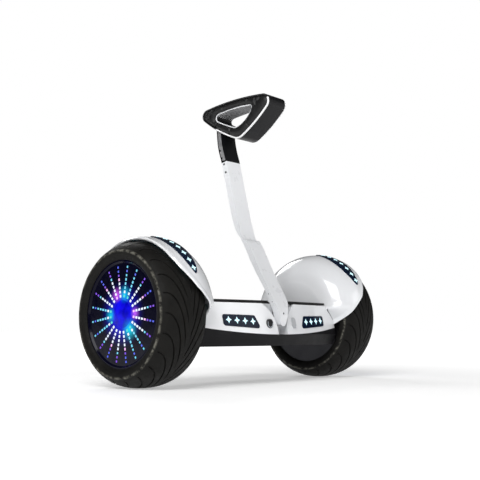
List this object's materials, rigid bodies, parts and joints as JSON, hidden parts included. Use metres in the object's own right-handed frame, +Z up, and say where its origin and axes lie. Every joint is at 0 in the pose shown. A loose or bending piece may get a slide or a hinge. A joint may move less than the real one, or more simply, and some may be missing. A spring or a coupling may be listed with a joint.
{
  "type": "self balancing hoverboard",
  "caption": "Two-wheeled self-balancing scooter with hub-motor wheels, round light discs, lit fenders, foot mats and a leaning stem with a padded knee head.",
  "frame": {"origin": "on the ground under the middle of the axle", "axes": "+X along the axle to the rider's left, -Y to the front, +Z up"},
  "size_m": [0.612, 0.2642, 0.5591],
  "materials": {
    "tyre": "matte rubber",
    "rim": "black anodised",
    "motor_cover": "black anodised",
    "magnet_ring": "nickel plated",
    "wheel_bearings": "ground",
    "led_disc": "glossy",
    "led_spokes": "emissive lights",
    "hub_diffuser": "emissive blue",
    "stator_cores": "laminated",
    "stator_windings": "enamelled copper",
    "axles": "turned",
    "front_fascia": "gloss white",
    "rear_fascia": "gloss white",
    "fender": "gloss white",
    "deck": "satin white",
    "lower_shell": "satin black",
    "fender_lens": "smoked lens",
    "fender_led_strips": "emissive lights",
    "foot_mat": "ribbed rubber",
    "headlight_lenses": "smoked lens",
    "tail_light_lenses": "red lens",
    "light_boards": "circuit board",
    "power_button": "gloss black",
    "charge_socket": "moulded",
    "charge_flap": "soft grey",
    "frame": "die cast",
    "axle_clamps": "machined",
    "chassis_screws": "black oxide",
    "battery_pack": "shrink wrap",
    "controller_board": "circuit board",
    "sensor_boards": "circuit board",
    "pivot_housing": "machined",
    "pivot_bushings": "sintered bronze",
    "pivot_shaft": "ground",
    "stem_lever": "stamped",
    "centring_spring": "spring steel",
    "stem": "gloss white paint",
    "stem_screws": "black oxide",
    "neck": "satin black",
    "neck_tongue": "ground",
    "neck_side_plates": "satin grey",
    "neck_screws": "black oxide",
    "head_core": "moulded black",
    "head_band": "satin black",
    "knee_pad": "padded black",
    "pad_piping": "white trim",
    "hole_trims": "bright trim"
  },
  "bodies": {
    "chassis": {"stator_cores": "stator_cores", "stator_windings": "stator_windings", "axles": "axles", "front_fascia": "front_fascia", "rear_fascia": "rear_fascia", "deck": "deck", "lower_shell": "lower_shell", "left_fender": "fender", "right_fender": "fender", "left_fender_lens": "fender_lens", "right_fender_lens": "fender_lens", "fender_led_strips": "fender_led_strips", "headlight_lenses": "headlight_lenses", "tail_light_lenses": "tail_light_lenses", "light_boards": "light_boards", "charge_socket": "charge_socket", "frame": "frame", "axle_clamps": "axle_clamps", "chassis_screws": "chassis_screws", "battery_pack": "battery_pack", "controller_board": "controller_board", "sensor_boards": "sensor_boards", "pivot_housing": "pivot_housing", "pivot_bushings": "pivot_bushings", "centring_spring": "centring_spring"},
    "left_wheel": {"left_tyre": "tyre", "left_rim": "rim", "left_motor_cover": "motor_cover", "left_magnet_ring": "magnet_ring", "left_wheel_bearings": "wheel_bearings", "left_led_disc": "led_disc", "left_led_spokes": "led_spokes", "left_hub_diffuser": "hub_diffuser"},
    "right_wheel": {"right_tyre": "tyre", "right_rim": "rim", "right_motor_cover": "motor_cover", "right_magnet_ring": "magnet_ring", "right_wheel_bearings": "wheel_bearings", "right_led_disc": "led_disc", "right_led_spokes": "led_spokes", "right_hub_diffuser": "hub_diffuser"},
    "left_mat": {"left_foot_mat": "foot_mat"},
    "right_mat": {"right_foot_mat": "foot_mat"},
    "button": {"power_button": "power_button"},
    "port_flap": {"charge_flap": "charge_flap"},
    "stem": {"pivot_shaft": "pivot_shaft", "stem_lever": "stem_lever", "stem": "stem", "stem_screws": "stem_screws"},
    "head": {"neck": "neck", "neck_tongue": "neck_tongue", "neck_side_plates": "neck_side_plates", "neck_screws": "neck_screws", "head_core": "head_core", "head_band": "head_band", "left_knee_pad": "knee_pad", "right_knee_pad": "knee_pad", "pad_piping": "pad_piping", "hole_trims": "hole_trims"}
  },
  "joints": [
    {"name": "left_wheel_spin", "type": "hinge", "parent": "chassis", "child": "left_wheel", "pos_m": [0.254, 0, 0.127], "axis": [1, 0, 0], "continuous": true},
    {"name": "right_wheel_spin", "type": "hinge", "parent": "chassis", "child": "right_wheel", "pos_m": [-0.254, 0, 0.127], "axis": [1, 0, 0], "continuous": true},
    {"name": "stem_lean", "type": "hinge", "parent": "chassis", "child": "stem", "pos_m": [0, -0.08, 0.131], "axis": [0, 1, 0], "range_deg": [-12, 12], "stiffness_Nm_per_rad": 25},
    {"name": "neck_height", "type": "slide", "parent": "stem", "child": "head", "axis": [0, 0.2419, 0.9703], "range_m": [0, 0.042]},
    {"name": "left_mat_press", "type": "slide", "parent": "chassis", "child": "left_mat", "axis": [0, 0, -1], "range_m": [0, 0.0012], "stiffness_N_per_m": 3000, "springref_m": -0.002},
    {"name": "right_mat_press", "type": "slide", "parent": "chassis", "child": "right_mat", "axis": [0, 0, -1], "range_m": [0, 0.0012], "stiffness_N_per_m": 3000, "springref_m": -0.002},
    {"name": "power_button_press", "type": "slide", "parent": "chassis", "child": "button", "axis": [0, 1, 0], "range_m": [0, 0.0015], "stiffness_N_per_m": 1500, "springref_m": -0.001},
    {"name": "port_flap_open", "type": "hinge", "parent": "chassis", "child": "port_flap", "pos_m": [0.035, -0.11149, 0.10477], "axis": [1, 0, 0], "range_deg": [0, 110]}
  ]
}
